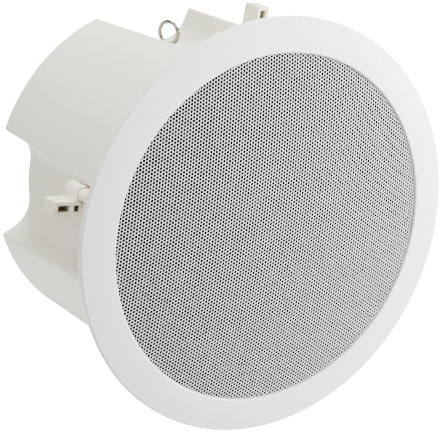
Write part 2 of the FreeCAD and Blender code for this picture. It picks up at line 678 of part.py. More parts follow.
def spider():
    """Corrugated cloth disc that centres the coil, glued to the basket's shelf."""
    inner = COIL_RADIUS + RUNNING_CLEARANCE
    outer = BASKET_SHELF_RADIUS - BASKET_SHEET
    count = 2 * SPIDER_WAVES
    step = (BASKET_CUP_RADIUS - inner) / count
    folds = [(inner + step * i, BASKET_SHELF - SPIDER_WAVE_HEIGHT * (i % 2)) for i in range(count + 1)]
    under = [(radius, height - SPIDER_SHEET) for radius, height in folds]
    return turned(*under, (outer, BASKET_SHELF - SPIDER_SHEET), (outer, BASKET_SHELF), *folds[::-1])


def top_plate():
    return tube(TOP_PLATE_RADIUS, GAP_RADIUS, BASKET_BOTTOM, MAGNET_FRONT)


def magnet():
    return tube(MAGNET_RADIUS, MAGNET_BORE, MAGNET_FRONT, MAGNET_BACK)


def yoke():
    """Back plate and vented pole in one piece."""
    return turned(
        (POLE_VENT_RADIUS, BASKET_BOTTOM),
        (POLE_RADIUS, BASKET_BOTTOM),
        (POLE_RADIUS, MAGNET_BACK),
        (YOKE_RADIUS, MAGNET_BACK),
        (YOKE_RADIUS, MAGNET_BACK + YOKE_THICKNESS),
        (POLE_VENT_RADIUS, MAGNET_BACK + YOKE_THICKNESS),
    )


def transformer_core():
    """Stack of laminations with two windows, flat against the can's rear wall."""
    low = CAN_INSIDE - CORE_STACK
    x = CORE_LENGTH / 2
    y = CORE_WIDTH / 2
    core = block(-x, x, -y, y, low, CAN_INSIDE)
    window = block(CORE_LEG, x - CORE_LEG, -y + CORE_LEG, y - CORE_LEG, low, CAN_INSIDE)
    other = window.mirror(ORIGIN, OUT)
    return shifted(core.cut([window, other]))


def shifted(shape):
    """Copy of a transformer piece at the transformer's place beside the axis."""
    copy = shape.copy()
    copy.translate(Vector(0, TRANSFORMER_OFFSET, 0))
    return copy


def transformer_coil():
    """Winding round the core's middle leg."""
    inner = CORE_LEG + COIL_BUILD_GAP
    outer = CORE_LENGTH / 2 - CORE_LEG - COIL_BUILD_GAP
    length = CORE_WIDTH / 2 - CORE_LEG - COIL_BUILD_GAP
    low = CAN_INSIDE - CORE_STACK - COIL_OVERHANG
    winding = block(-outer, outer, -length, length, low, CAN_INSIDE - COIL_BUILD_GAP)
    leg = block(-inner, inner, -length, length, CAN_INSIDE - CORE_STACK - COIL_BUILD_GAP, CAN_INSIDE)
    return shifted(winding.cut(leg))


def strap_screw_places():
    """Screw centres of the strap's two ears."""
    reach = CORE_LENGTH / 2 + STRAP_SHEET + STRAP_EAR / 2
    height = TRANSFORMER_OFFSET - CORE_WIDTH / 2 + STRAP_WIDTH / 2
    return [(-reach, height), (reach, height)]


def transformer_strap():
    """Steel strap bent over one end of the core, screwed to the rear wall by its ears."""
    low = CAN_INSIDE - CORE_STACK
    x = CORE_LENGTH / 2
    y0 = -CORE_WIDTH / 2
    y1 = y0 + CORE_LEG - COIL_BUILD_GAP
    bridge = block(-x - STRAP_SHEET, x + STRAP_SHEET, y0, y1, low - STRAP_SHEET, low)
    strap = bridge
    for side in (-1, 1):
        near = side * x
        far = side * (x + STRAP_SHEET)
        end = side * (x + STRAP_SHEET + STRAP_EAR)
        y2 = y0 + STRAP_WIDTH
        leg = block(min(near, far), max(near, far), y0, y2, low - STRAP_SHEET, CAN_INSIDE)
        ear = block(min(near, end), max(near, end), y0, y2, CAN_INSIDE - STRAP_SHEET, CAN_INSIDE)
        strap = strap.fuse([leg, ear])
    strap = shifted(strap)
    holes = [post(SCREW_RADIUS + SCREW_CLEARANCE, px, py, CAN_INSIDE - STRAP_SHEET, CAN_INSIDE)
             for px, py in strap_screw_places()]
    return strap.cut(holes).removeSplitter()


def transformer_screws():
    length = STRAP_SHEET + CAN_REAR_WALL
    screws = [small_screw(px, py, CAN_INSIDE - STRAP_SHEET, length) for px, py in strap_screw_places()]
    return Part.makeCompound(screws)


def rounded_block(length, width, round_radius, z0, z1):
    solid = block(-length / 2, length / 2, -width / 2, width / 2, z0, z1)
    uprights = [edge for edge in solid.Edges if edge.BoundBox.ZLength > (z1 - z0) / 2]
    return solid.makeFillet(round_radius, uprights)


def terminal_cover():
    """Screwed cover over the terminals, with a gland hole in one side."""
    top = CAN_REAR + COVER_HEIGHT
    cover = rounded_block(COVER_LENGTH, COVER_WIDTH, COVER_ROUND, CAN_REAR, top)
    rim = [edge for edge in cover.Edges if edge.BoundBox.ZMin > top - NEAR]
    cover = cover.makeFillet(COVER_WALL / 2, rim)
    cavity = rounded_block(COVER_LENGTH - 2 * COVER_WALL, COVER_WIDTH - 2 * COVER_WALL,
                           COVER_ROUND - COVER_WALL, CAN_REAR, top - COVER_WALL)
    places = [side * COVER_SCREW_SPAN / 2 for side in (-1, 1)]
    posts = [post(COVER_POST_RADIUS, x, 0, CAN_REAR, top - COVER_WALL / 2) for x in places]
    cover = cover.cut(cavity).fuse(posts)
    holes = [post(SCREW_RADIUS + SCREW_CLEARANCE, x, 0, CAN_REAR, top) for x in places]
    gland_hole = Part.makeCylinder(GLAND_RADIUS + SCREW_CLEARANCE, COVER_WALL * 2,
                                   Vector(0, COVER_WIDTH / 2 - COVER_WALL * 3 / 2, gland_height()), ALONG)
    return cover.cut(holes + [gland_hole]).removeSplitter()


def gland_height():
    return CAN_REAR + COVER_HEIGHT / 2


def cover_screws():
    """Screws driven down through the cover's posts into the can's rear wall."""
    top = CAN_REAR + COVER_HEIGHT
    length = COVER_HEIGHT + CAN_REAR_WALL
    screws = [upside_down(small_screw(side * COVER_SCREW_SPAN / 2, 0, top, length), top) for side in (-1, 1)]
    return Part.makeCompound(screws)


def cable_gland():
    """Gland with a hex body, a domed cap and a through bore, empty of any cable."""
    profile = wire(
        lambda radius, along: Vector(radius, along, 0),
        (GLAND_BORE, -COVER_WALL - GLAND_REACH),
        (GLAND_RADIUS, -COVER_WALL - GLAND_REACH),
        (GLAND_RADIUS, GLAND_HEX_LENGTH),
        ((GLAND_RADIUS - GLAND_CAP_TAPER, GLAND_HEX_LENGTH + GLAND_CAP_SHOULDER),
         (GLAND_BORE + GLAND_CAP_WALL, GLAND_HEX_LENGTH + GLAND_CAP_LENGTH)),
        (GLAND_BORE, GLAND_HEX_LENGTH + GLAND_CAP_LENGTH),
    )
    body = Part.Face(profile).revolve(ORIGIN, ALONG, 360)
    points = [polar(GLAND_HEX, 60 * i) for i in range(7)]
    corners = [Vector(across, 0, height) for across, height in points]
    hexagon = Part.Face(Part.makePolygon(corners)).extrude(Vector(0, GLAND_HEX_LENGTH, 0))
    bore = Part.makeCylinder(GLAND_BORE, GLAND_HEX_LENGTH, ORIGIN, ALONG)
    gland = body.fuse(hexagon.cut(bore))
    gland.translate(Vector(0, COVER_WIDTH / 2, gland_height()))
    return gland.removeSplitter()


def terminal_block():
    """Screw terminal strip on the can's rear wall, with a wire entry and a screw well for each pole."""
    y0 = -BLOCK_SHIFT - BLOCK_WIDTH / 2
    y1 = y0 + BLOCK_WIDTH
    top = CAN_REAR + BLOCK_HEIGHT
    strip = block(-BLOCK_LENGTH / 2, BLOCK_LENGTH / 2, y0, y1, CAN_REAR, top)
    pitch = BLOCK_LENGTH / BLOCK_POLES
    cuts = []
    for i in range(BLOCK_POLES):
        x = -BLOCK_LENGTH / 2 + pitch * (i + 0.5)
        half = BLOCK_ENTRY / 2
        entry = CAN_REAR + half
        cuts.append(block(x - half, x + half, y1 - BLOCK_WIDTH / 2, y1, entry, entry + BLOCK_ENTRY))
        cuts.append(post(half, x, y0 + BLOCK_WIDTH / 3, top - BLOCK_ENTRY, top))
    return strip.cut(cuts)


def eye_bolt():
    """Ring with a collar and a shank through the flute's floor."""
    ring_centre = EYE_SEAT + EYE_COLLAR_THICKNESS + EYE_RING_RADIUS + EYE_WIRE_RADIUS / 2
    ring = Part.makeTorus(EYE_RING_RADIUS, EYE_WIRE_RADIUS, Vector(ring_centre, 0, EYE_HEIGHT), ALONG)
    ring.rotate(Vector(ring_centre, 0, EYE_HEIGHT), OUT, EYE_TURN)
    collar = Part.makeCylinder(EYE_COLLAR_RADIUS, EYE_COLLAR_THICKNESS, Vector(EYE_SEAT, 0, EYE_HEIGHT), OUT)
    inside = EYE_SEAT - EYE_PAD_OUT - CAN_WALL - EYE_PAD_IN
    end = inside - EYE_NUT_THICKNESS - EYE_SHANK_PROUD
    shank = Part.makeCylinder(EYE_SHANK_RADIUS, EYE_SEAT - end, Vector(end, 0, EYE_HEIGHT), OUT)
    return at_angle(ring.fuse([collar, shank]).removeSplitter(), EYE_FLUTE)


def eye_nut():
    """Hex nut that holds the eye from inside the can."""
    inside = EYE_SEAT - EYE_PAD_OUT - CAN_WALL - EYE_PAD_IN
    corner = EYE_NUT_HALF / math.cos(math.radians(30))
    points = [polar(corner, 60 * i) for i in range(7)]
    corners = [Vector(inside, across, EYE_HEIGHT + height) for across, height in points]
    nut = Part.Face(Part.makePolygon(corners)).extrude(Vector(-EYE_NUT_THICKNESS, 0, 0))
    hole = Part.makeCylinder(EYE_SHANK_RADIUS + SCREW_CLEARANCE, EYE_NUT_THICKNESS,
                             Vector(inside - EYE_NUT_THICKNESS, 0, EYE_HEIGHT), OUT)
    return at_angle(nut.cut(hole), EYE_FLUTE)


def clamp_screw():
    """Long machine screw, turned from below through the open front."""
    length = BUSH_END + CLAMP_SCREW_PROUD - CLAMP_HEAD_SEAT
    return pan_screw(CLAMP_RADIAL, CLAMP_SIDE, CLAMP_HEAD_SEAT, length,
                     CLAMP_SCREW_RADIUS, CLAMP_HEAD_RADIUS, CLAMP_HEAD_HEIGHT)


def clamp_bush():
    """Threaded brass bush: pressed in the carriage, its flange draws the arm down."""
    bush = turned(
        (CLAMP_SCREW_RADIUS + BUSH_THREAD_CLEARANCE, CARRIAGE_FRONT),
        (BUSH_RADIUS, CARRIAGE_FRONT),
        (BUSH_RADIUS, BUSH_SEAT),
        (BUSH_FLANGE_RADIUS, BUSH_SEAT),
        (BUSH_FLANGE_RADIUS, BUSH_END),
        (CLAMP_SCREW_RADIUS + BUSH_THREAD_CLEARANCE, BUSH_END),
    )
    bush.translate(Vector(CLAMP_RADIAL, CLAMP_SIDE, 0))
    return bush


def clamp_carriage():
    """Moulded carriage with a rounded nose, whose fork rides on a guide post and keeps it from turning."""
    x = CLAMP_RADIAL
    y = CLAMP_SIDE
    low = CARRIAGE_FRONT
    high = CARRIAGE_BACK
    nose_x = x + CARRIAGE_NOSE_OUT
    nose_y = y + CARRIAGE_NOSE_SIDE
    hub = post(CARRIAGE_HUB_RADIUS, x, y, low, high)
    nose = post(CARRIAGE_NOSE_RADIUS, nose_x, nose_y, low, high)
    bridge = block(x, nose_x, y - CARRIAGE_HUB_RADIUS, nose_y + CARRIAGE_NOSE_RADIUS, low, high)
    web_side = y - CARRIAGE_WEB_LOW
    web = block(GUIDE_POST_TOP - GUIDE_FORK_DEPTH, x + CARRIAGE_WALL_OUT,
                web_side, web_side + CARRIAGE_WEB_WIDTH, low, high)
    wall = block(x - CARRIAGE_HUB_RADIUS / 2, x + CARRIAGE_WALL_OUT, web_side, y, low, high)
    half = GUIDE_POST_WIDTH / 2 + RUNNING_CLEARANCE
    middle = web_side + CARRIAGE_WEB_WIDTH / 2
    slot = block(GUIDE_POST_TOP - GUIDE_FORK_DEPTH, GUIDE_POST_TOP + RUNNING_CLEARANCE,
                 middle - half, middle + half, low, high)
    bore = post(BUSH_RADIUS + BUSH_FIT_CLEARANCE, x, y, low, high)
    return hub.fuse([nose, bridge, web, wall]).cut([slot, bore]).removeSplitter()


def clamp_arm():
    """Dog-leg arm: a hub on the bush, a canted and stepped foot with cored pockets, and a sloping back."""
    x = CLAMP_RADIAL
    y = CLAMP_SIDE
    face = x + ARM_HUB_FACE
    top = y + ARM_HUB_TOP
    bend = ARM_HUB_ROUND * (1 - math.sqrt(0.5))
    hub = prism(ARM_FRONT, ARM_BACK,
                (x, y - ARM_HUB_RADIUS), (face, y - ARM_HUB_RADIUS), (face, top - ARM_HUB_ROUND),
                ((face - bend, top - bend), (face - ARM_HUB_ROUND, top)),
                (x + ARM_HUB_TOP - ARM_HUB_RADIUS, top), (x, y + ARM_HUB_RADIUS),
                ((x - ARM_HUB_RADIUS, y), (x, y - ARM_HUB_RADIUS)))
    foot_low = y - ARM_LOW
    foot_high = foot_low + ARM_WIDTH
    root = block(x + ARM_ROOT, x + ARM_STEP, foot_low - ARM_ROOT_MARGIN, foot_high + ARM_ROOT_MARGIN,
                 ARM_FRONT, ARM_BACK)
    side = wire(lambda along, height: Vector(along, foot_low, height),
                (x + ARM_STEP, ARM_FRONT), (x + ARM_REACH, ARM_FRONT),
                (x + ARM_REACH, ARM_FRONT + ARM_TIP_THICKNESS), (x + ARM_STEP, ARM_BACK))
    foot = Part.Face(side).extrude(Vector(0, ARM_WIDTH, 0))
    tip_edges = [edge for edge in foot.Edges if edge.BoundBox.XMin > x + ARM_REACH - NEAR]
    foot = foot.makeFillet(ARM_EDGE_ROUND, tip_edges)
    middle = foot_low + ARM_WIDTH / 2
    half = POCKET_WIDTH / 2
    tip_end = x + ARM_REACH - TIP_POCKET_WALL
    root_start = x + ARM_ROOT + ROOT_POCKET_WALL
    spans = ((tip_end - TIP_POCKET_LENGTH, tip_end), (root_start, root_start + ROOT_POCKET_LENGTH))
    pockets = [block(start, end, middle - half, middle + half, ARM_FRONT, ARM_FRONT + POCKET_DEPTH)
               for start, end in spans]
    foot = root.fuse(foot).cut(pockets)
    foot.rotate(Vector(x + ARM_STEP, middle, 0), UP, ARM_CANT)
    notch_side = foot_high + ARM_ROOT_MARGIN
    notch_outline = wire(lambda across, height: Vector(face - NOTCH_DEPTH, across, height),
                         (notch_side, ARM_BACK), (notch_side, ARM_BACK - NOTCH_SIZE),
                         (notch_side + NOTCH_SIZE, ARM_BACK))
    notch = Part.Face(notch_outline).extrude(Vector(NOTCH_DEPTH, 0, 0))
    bore = post(BUSH_RADIUS + RUNNING_CLEARANCE, x, y, ARM_FRONT, ARM_BACK)
    return hub.fuse(foot).cut([notch, bore]).removeSplitter()


def save(name, shape):
    shape.exportStep("parts/" + name + ".step")


SINGLE_PIECES = (
    front_frame, grille, grille_cloth, back_can, can_gasket, can_screws,
    driver_gasket, driver_basket, driver_screws, cone, surround, dust_cap, voice_coil, spider,
    top_plate, magnet, yoke,
    transformer_core, transformer_coil, transformer_strap, transformer_screws,
    terminal_cover, cover_screws, cable_gland, terminal_block, eye_bolt, eye_nut,
)
CLAMP_PIECES = (clamp_screw, clamp_bush, clamp_carriage, clamp_arm)

os.makedirs("parts", exist_ok=True)
for make in SINGLE_PIECES:
    save(make.__name__, make())
for make in CLAMP_PIECES:
    piece = make()
    for number, angle in enumerate(FLUTE_ANGLES, start=1):
        save(make.__name__ + "_" + str(number), at_angle(piece, angle))
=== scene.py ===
import json
import math

import bmesh
import bpy
from mathutils import Matrix, Vector
from mathutils.geometry import delaunay_2d_cdt


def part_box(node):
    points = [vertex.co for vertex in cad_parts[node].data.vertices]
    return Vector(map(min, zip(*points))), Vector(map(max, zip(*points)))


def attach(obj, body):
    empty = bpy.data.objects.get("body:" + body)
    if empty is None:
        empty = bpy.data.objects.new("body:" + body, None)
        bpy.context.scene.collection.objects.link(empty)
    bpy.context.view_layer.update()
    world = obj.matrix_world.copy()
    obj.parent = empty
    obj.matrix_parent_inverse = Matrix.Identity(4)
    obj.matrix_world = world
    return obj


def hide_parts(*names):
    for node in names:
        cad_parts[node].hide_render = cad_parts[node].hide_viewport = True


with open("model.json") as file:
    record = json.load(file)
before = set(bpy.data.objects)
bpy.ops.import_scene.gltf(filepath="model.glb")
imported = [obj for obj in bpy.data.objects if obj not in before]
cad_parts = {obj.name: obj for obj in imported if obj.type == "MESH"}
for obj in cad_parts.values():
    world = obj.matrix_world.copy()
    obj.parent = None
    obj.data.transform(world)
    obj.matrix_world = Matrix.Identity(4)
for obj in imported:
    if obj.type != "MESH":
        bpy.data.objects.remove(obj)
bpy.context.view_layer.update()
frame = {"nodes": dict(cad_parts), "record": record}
MM = 0.001

# Camera, from the direction that the photograph was taken, in degrees, metres and, for the lens,
# millimetres
CAMERA_AZIMUTH = 119.67
CAMERA_ELEVATION = -52.34
CAMERA_ROLL = -63.14
CAMERA_DISTANCE = 1.8338
CAMERA_AIM = (0.0104, -0.0059, 0.0531)
SENSOR_WIDTH = 36.0
CAMERA_LENS = 261.83

# Light: large soft lamps round the speaker, each with its way to the right, up and towards the
# viewer and its power in watts, a faint light all round and a bright sweep behind
LAMPS = {
    "side": ((1, 0, 0), 241.0),
    "high_side": ((1, 1, 0), 86.0),
    "top": ((0, 1, 0), 102.0),
    "high_front": ((0, 1, 1), 16.0),
    "fill": ((-1, 0, 1), 42.0),
    "rim": ((-1, -1, -1), 50.0),
}
LAMP_DISTANCE = 2.0
LAMP_SIZE = 1.2
AMBIENT = 0.2
SWEEP = 30.0
WHITE = (1, 1, 1, 1)

# Floor, in metres, low enough to leave the view from below free
FLOOR_HEIGHT = -3.1
FLOOR_RADIUS = 3.0
FLOOR_SIDES = 96

# Grille: domed sheet with staggered holes and a hem bent back at its edge, in millimetres and
# degrees
GRILLE_RADIUS = 100.18
GRILLE_FRONT = -5.6
GRILLE_SEAT = -3.2
GRILLE_SHEET = 0.18
GRILLE_SHARP = 30.0
DOME_SPAN = 99.18
DOME_RISE = 8.2
DOME_EDGE = 99.85
HOLE_PITCH = 2.0111
HOLE_RADIUS = 0.98
HOLE_SIDES = 8
HOLE_WEB = 0.15
HOLE_CLEAR = HOLE_RADIUS + HOLE_WEB / 3
LATTICE_ANGLE = 5.7
LATTICE_SKEW = 1.2
LATTICE_SPARE = 2
BEND_RINGS = 5
RIM_STEPS = 480

# Settings of Blender's triangulation: the whole hull, and how close points are one
CONVEX_HULL = 0
SAME_POINT = 1e-6

# Dust cloth that lines the sheet's edge, in millimetres
CLOTH_START = 90.0
CLOTH_GAP = 0.04
CLOTH_SHEET = 0.1
CLOTH_STEPS = 10
CLOTH_END = -3.5

# Clamp mouldings and their softened edges, in millimetres and degrees
CLAMPS = 4
ARM_SOFTNESS = 0.35
CARRIAGE_SOFTNESS = 0.3
SOFT_SEGMENTS = 2
SOFT_WELD = 0.002
SOFT_CLEAN = 0.01
FLAT_ANGLE = 1.0
CREASE_ANGLE = 35.0
MOULDING_SHARP = 60.0

# Clamp screws, in millimetres and degrees
SCREW_CREST = 2.0
SCREW_ROOT = 1.6
SCREW_PITCH = 0.7
SCREW_SEAT = -0.6
SCREW_SUNK = 0.3
SCREW_TIP = 48.7
SCREW_WELD = 0.001
SCREW_SHARP = 50.0
THREAD_STEPS = 16

# Factor that Blender's wave texture puts on its scale
WAVE_RATE = 20


def srgb(*values):
    """Linear colour of an 8-bit screen colour."""
    shares = [v / 255 for v in values]
    return tuple(c / 12.92 if c <= 0.04045 else ((c + 0.055) / 1.055) ** 2.4 for c in shares)


def scaled(colour, factor):
    return tuple(c * factor for c in colour)


class Shader:
    """A Principled material with helpers that wire textures, sized in millimetres, into it."""

    def __init__(self, name, colour, roughness, metallic=0.0, specular=0.5):
        self.material = bpy.data.materials.new(name)
        self.material.use_nodes = True
        self.nodes = self.material.node_tree.nodes
        self.links = self.material.node_tree.links
        self.bsdf = self.nodes["Principled BSDF"]
        self.bsdf.inputs["Base Color"].default_value = (*colour, 1)
        self.bsdf.inputs["Roughness"].default_value = roughness
        self.bsdf.inputs["Metallic"].default_value = metallic
        self.bsdf.inputs["Specular IOR Level"].default_value = specular
        self.coords = self.nodes.new("ShaderNodeTexCoord").outputs["Object"]
        self.paint = None
        self.lift = None

    def stretched(self, x, y, z):
        """Coordinates scaled per axis, for streaks."""
        mapping = self.nodes.new("ShaderNodeMapping")
        mapping.inputs["Scale"].default_value = (x, y, z)
        self.links.new(self.coords, mapping.inputs["Vector"])
        return mapping.outputs["Vector"]

    def noise(self, size, detail=3.0, coords=None):
        """Noise with features about this many millimetres across."""
        node = self.nodes.new("ShaderNodeTexNoise")
        node.inputs["Scale"].default_value = 1 / (size * MM)
        node.inputs["Detail"].default_value = detail
        self.links.new(coords or self.coords, node.inputs["Vector"])
        return node.outputs["Fac"]

    def wave(self, pitch, direction):
        """Parallel bands at this pitch in millimetres."""
        node = self.nodes.new("ShaderNodeTexWave")
        node.bands_direction = direction
        node.inputs["Scale"].default_value = 2 * math.pi / WAVE_RATE / (pitch * MM)
        self.links.new(self.coords, node.inputs["Vector"])
        return node.outputs["Fac"]

    def spread(self, value, low, high, start=0.3, stop=0.7):
        """A texture's value spread between two numbers."""
        node = self.nodes.new("ShaderNodeMapRange")
        node.inputs["From Min"].default_value = start
        node.inputs["From Max"].default_value = stop
        node.inputs["To Min"].default_value = low
        node.inputs["To Max"].default_value = high
        self.links.new(value, node.inputs["Value"])
        return node.outputs["Result"]

    def tint(self, value, dark, light):
        """Colour that drifts between two colours with a texture."""
        node = self.nodes.new("ShaderNodeMix")
        node.data_type = "RGBA"
        node.inputs["A"].default_value = (*dark, 1)
        node.inputs["B"].default_value = (*light, 1)
        self.links.new(self.spread(value, 0, 1), node.inputs["Factor"])
        self.paint = node.outputs["Result"]
        self.links.new(self.paint, self.bsdf.inputs["Base Color"])

    def painted_shade(self, reach, dark, start, stop):
        """Painted shade: a darker colour in recesses narrower than a reach in millimetres, where
        shade falls.
        """
        shelter = self.nodes.new("ShaderNodeAmbientOcclusion")
        shelter.inputs["Distance"].default_value = reach * MM
        node = self.nodes.new("ShaderNodeMix")
        node.data_type = "RGBA"
        node.inputs["A"].default_value = (*dark, 1)
        self.links.new(self.paint, node.inputs["B"])
        openness = self.spread(shelter.outputs["AO"], 0, 1, start, stop)
        self.links.new(openness, node.inputs["Factor"])
        self.links.new(node.outputs["Result"], self.bsdf.inputs["Base Color"])

    def rough(self, value, low, high):
        """Roughness that drifts between two numbers with a texture."""
        self.links.new(self.spread(value, low, high), self.bsdf.inputs["Roughness"])

    def bump(self, value, height, strength=1.0):
        """Raise the surface by a height in millimetres."""
        node = self.nodes.new("ShaderNodeBump")
        node.inputs["Strength"].default_value = strength
        node.inputs["Distance"].default_value = height * MM
        self.links.new(value, node.inputs["Height"])
        if self.lift:
            self.links.new(self.lift, node.inputs["Normal"])
        self.lift = node.outputs["Normal"]
        self.links.new(self.lift, self.bsdf.inputs["Normal"])


def moulded(name, colour, shade, roughness, grain, height, painted_shade=None):
    """Moulded plastic: faint flow shading, uneven gloss, a fine grain and, when asked, painted
    shade in its recesses.
    """
    s = Shader(name, colour, roughness, specular=0.45)
    s.tint(s.noise(size=38.0, detail=2.0), scaled(colour, shade), colour)
    s.rough(s.noise(size=6.0), low=roughness - 0.06, high=roughness + 0.06)
    s.bump(s.noise(size=22.0, detail=1.0), height=0.05, strength=0.4)
    s.bump(s.noise(size=grain, detail=2.0), height=height, strength=0.5)
    # Painted shade in the recesses, if asked for
    if painted_shade:
        s.painted_shade(**painted_shade)
    return s.material


def coated(name, colour, roughness, shade=0.95):
    """Stoved or powder coat: orange peel and faint specks."""
    s = Shader(name, colour, roughness, specular=0.5)
    s.tint(s.noise(size=14.0, detail=4.0), scaled(colour, shade), colour)
    s.rough(s.noise(size=3.0), low=roughness - 0.07, high=roughness + 0.07)
    s.bump(s.noise(size=0.9, detail=2.0), height=0.012, strength=0.5)
    return s.material


def plated(name, colour, shade, roughness, streak=None):
    """Bare or plated metal: uneven gloss, faint stains and drawing or turning lines."""
    s = Shader(name, colour, roughness, metallic=1.0)
    s.tint(s.noise(size=4.0, detail=4.0), scaled(colour, shade), colour)
    s.rough(s.noise(size=1.5), low=max(0.04, roughness - 0.08), high=roughness + 0.1)
    along = s.stretched(*streak) if streak else None
    s.bump(s.noise(size=0.25, detail=2.0, coords=along), height=0.006, strength=0.5)
    return s.material


def woven(name, dark, light, pitch, height, specular):
    """Cloth with two sets of threads."""
    s = Shader(name, light, roughness=0.95, specular=specular)
    s.tint(s.noise(size=2.0, detail=4.0), dark, light)
    s.bump(s.wave(pitch, "X"), height)
    s.bump(s.wave(pitch, "Y"), height)
    return s.material


def layered(name, dark, light, pitch, metallic, roughness):
    """Stacked sheets or turns of wire, in bands along the height."""
    s = Shader(name, light, roughness, metallic=metallic)
    bands = s.wave(pitch, "Z")
    s.tint(bands, dark, light)
    s.bump(bands, height=0.05)
    s.rough(s.noise(size=2.0), low=roughness - 0.08, high=roughness + 0.1)
    return s.material


def fibrous(name, dark, light, roughness):
    """Pressed paper or ferrite: mottled and slightly rough."""
    s = Shader(name, light, roughness, specular=0.3)
    s.tint(s.noise(size=1.2, detail=6.0), dark, light)
    s.bump(s.noise(size=0.6, detail=4.0), height=0.06, strength=0.7)
    return s.material


def rubbery(name, dark, light):
    """Rubber or tape: soft, with an uneven gloss."""
    s = Shader(name, light, roughness=0.6, specular=0.35)
    s.tint(s.noise(size=5.0, detail=4.0), dark, light)
    s.rough(s.noise(size=2.0), low=0.5, high=0.72)
    s.bump(s.noise(size=0.5, detail=2.0), height=0.02, strength=0.5)
    return s.material


# Painted shade for the clamp mouldings: a warm brown laid into their pockets, gaps and corners,
# where shade falls
CLAMP_PAINTED_SHADE = dict(reach=7.0, dark=srgb(124, 104, 76), start=0.2, stop=0.6)
LOOKS = {
    "frame_white": (moulded, dict(
        colour=srgb(226, 226, 225), shade=0.975, roughness=0.42, grain=0.7, height=0.010)),
    "can_white": (moulded, dict(
        colour=srgb(226, 222, 203), shade=0.965, roughness=0.50, grain=0.5, height=0.020)),
    "clamp_ivory": (moulded, dict(
        colour=srgb(234, 228, 202), shade=0.94, roughness=0.45, grain=0.6, height=0.015,
        painted_shade=CLAMP_PAINTED_SHADE)),
    "grille_white": (coated, dict(colour=srgb(242, 242, 240), roughness=0.65)),
    "cloth_black": (woven, dict(
        dark=(0.002, 0.002, 0.002), light=(0.006, 0.006, 0.006), pitch=0.5, height=0.05,
        specular=0.02)),
    "gasket_black": (rubbery, dict(dark=(0.012, 0.012, 0.012), light=(0.03, 0.03, 0.03))),
    "screw_steel": (plated, dict(colour=(0.62, 0.62, 0.60), shade=0.8, roughness=0.28)),
    "basket_black": (coated, dict(colour=(0.02, 0.02, 0.022), roughness=0.4)),
    "cone_paper": (fibrous, dict(
        dark=(0.012, 0.012, 0.012), light=(0.035, 0.034, 0.033), roughness=0.85)),
    "spider_cloth": (woven, dict(
        dark=(0.22, 0.13, 0.04), light=(0.36, 0.23, 0.08), pitch=0.7, height=0.08, specular=0.2)),
    "coil_copper": (layered, dict(
        dark=(0.30, 0.11, 0.04), light=(0.72, 0.32, 0.14), pitch=0.3, metallic=1.0,
        roughness=0.3)),
    "motor_steel": (plated, dict(colour=(0.55, 0.56, 0.57), shade=0.85, roughness=0.32)),
    "ferrite": (fibrous, dict(
        dark=(0.018, 0.018, 0.019), light=(0.045, 0.045, 0.047), roughness=0.7)),
    "core_steel": (layered, dict(
        dark=(0.05, 0.045, 0.04), light=(0.20, 0.19, 0.18), pitch=0.5, metallic=0.8,
        roughness=0.45)),
    "winding_tape": (rubbery, dict(dark=(0.42, 0.26, 0.03), light=(0.56, 0.36, 0.05))),
    "terminal_grey": (moulded, dict(
        colour=(0.08, 0.085, 0.09), shade=0.8, roughness=0.5, grain=0.4, height=0.02)),
    "gland_black": (moulded, dict(
        colour=(0.014, 0.014, 0.014), shade=0.8, roughness=0.45, grain=0.4, height=0.02)),
    "eye_nickel": (plated, dict(colour=(0.26, 0.24, 0.20), shade=0.6, roughness=0.10)),
    "bush_brass": (plated, dict(
        colour=(0.76, 0.55, 0.22), shade=0.85, roughness=0.24, streak=(1, 1, 8))),
}
MATERIALS = {slot: maker(slot, **look) for slot, (maker, look) in LOOKS.items()}


def dress(obj, slot):
    obj.data.materials.clear()
    obj.data.materials.append(MATERIALS[slot])


def add_piece(name, mesh, body, slot, *nodes):
    """Put a mesh in the scene as a piece of a body, in place of CAD nodes."""
    obj = bpy.data.objects.new(name, mesh)
    bpy.context.scene.collection.objects.link(obj)
    dress(obj, slot)
    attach(obj, body)
    if nodes:
        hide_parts(*nodes)
    return obj


def mesh_from(bm, name, sharp=40.0):
    """Mesh with smooth faces that stay crisp along edges sharper than an angle."""
    bmesh.ops.recalc_face_normals(bm, faces=bm.faces)
    mesh = bpy.data.meshes.new(name)
    bm.to_mesh(mesh)
    bm.free()
    mesh.shade_smooth()
    mesh.set_sharp_from_angle(angle=math.radians(sharp))
    return mesh


# The sheet's section: a dome on a ball, a bend at its edge and a straight hem
BALL = (DOME_SPAN ** 2 + DOME_RISE ** 2) / (2 * DOME_RISE)
EDGE_LEAN = math.asin(DOME_EDGE / BALL)
EDGE_HEIGHT = GRILLE_FRONT - DOME_RISE + BALL * (1 - math.cos(EDGE_LEAN))
BEND_RADIUS = (GRILLE_RADIUS - DOME_EDGE) / (1 - math.sin(EDGE_LEAN))
BEND_LENGTH = BEND_RADIUS * (math.pi / 2 - EDGE_LEAN)
HEM_START = EDGE_HEIGHT + BEND_RADIUS * math.cos(EDGE_LEAN)
SHEET_REACH = DOME_EDGE + BEND_LENGTH + GRILLE_SEAT - HEM_START
FIELD_REACH = SHEET_REACH - HOLE_RADIUS - HOLE_WEB


def section(flat, depth):
    """Radius and height of a ring of the flat blank once it is domed and its hem is bent back."""
    past = flat - DOME_EDGE
    if past <= 0:
        lean = math.asin(flat / BALL)
        radius = flat
        height = GRILLE_FRONT - DOME_RISE + BALL * (1 - math.cos(lean))
    else:
        lean = min(EDGE_LEAN + past / BEND_RADIUS, math.pi / 2)
        radius = DOME_EDGE + BEND_RADIUS * (math.sin(lean) - math.sin(EDGE_LEAN))
        height = HEM_START - BEND_RADIUS * math.cos(lean) + max(0, past - BEND_LENGTH)
    return radius - depth * math.sin(lean), height + depth * math.cos(lean)


